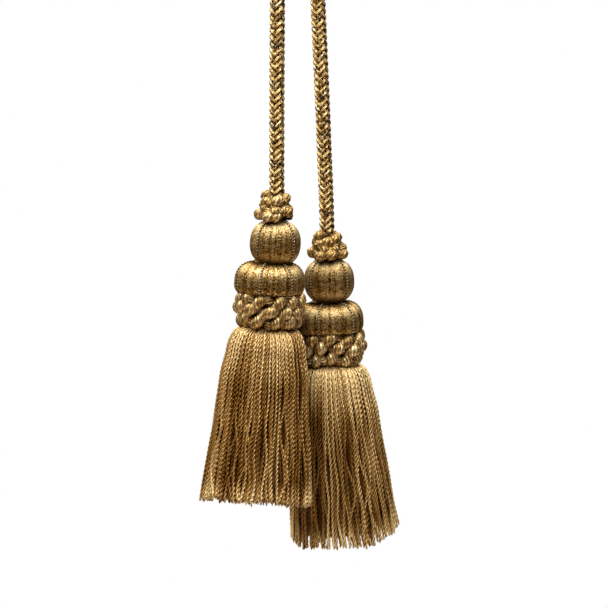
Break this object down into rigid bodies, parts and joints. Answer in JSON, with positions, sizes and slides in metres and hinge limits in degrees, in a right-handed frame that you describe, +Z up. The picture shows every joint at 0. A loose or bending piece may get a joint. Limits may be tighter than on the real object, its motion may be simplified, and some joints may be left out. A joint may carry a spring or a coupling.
{
  "type": "double chair tassel on a braided cord",
  "caption": "Gold double chair tassel: a braided cord folded into a hanging loop, with a wound ball-and-drum head, plaited band and twisted fringe skirt at each end.",
  "frame": {"origin": "top of the cord's hanging loop, on the loop's middle", "axes": "+Z up along the hanging cord, +X to the right as seen from the front, -Y towards the viewer; the front tassel hangs at -X, -Y and the back tassel, lower, at +X, +Y"},
  "size_m": [0.0912, 0.0846, 0.2859],
  "materials": {
    "braided_cord": "square braid of gold rayon yarn flecked with dark bronze metallic thread",
    "twisted_cord": "gold rayon cord, tightly twisted, with a soft sheen",
    "satin_winding": "gold satin thread wound from pole to pole, glossy across the threads, with thin dark bronze metallic cords",
    "fringe_yarn": "two-ply twisted rayon strands in bright and brown gold, softly glossy"
  },
  "bodies": {
    "root": {"cord": "braided_cord", "front_ruff": "twisted_cord", "front_ball": "satin_winding", "front_drum": "satin_winding", "front_band": "twisted_cord", "front_skirt": "fringe_yarn", "back_ruff": "twisted_cord", "back_ball": "satin_winding", "back_drum": "satin_winding", "back_band": "twisted_cord", "back_skirt": "fringe_yarn"}
  },
  "joints": []
}
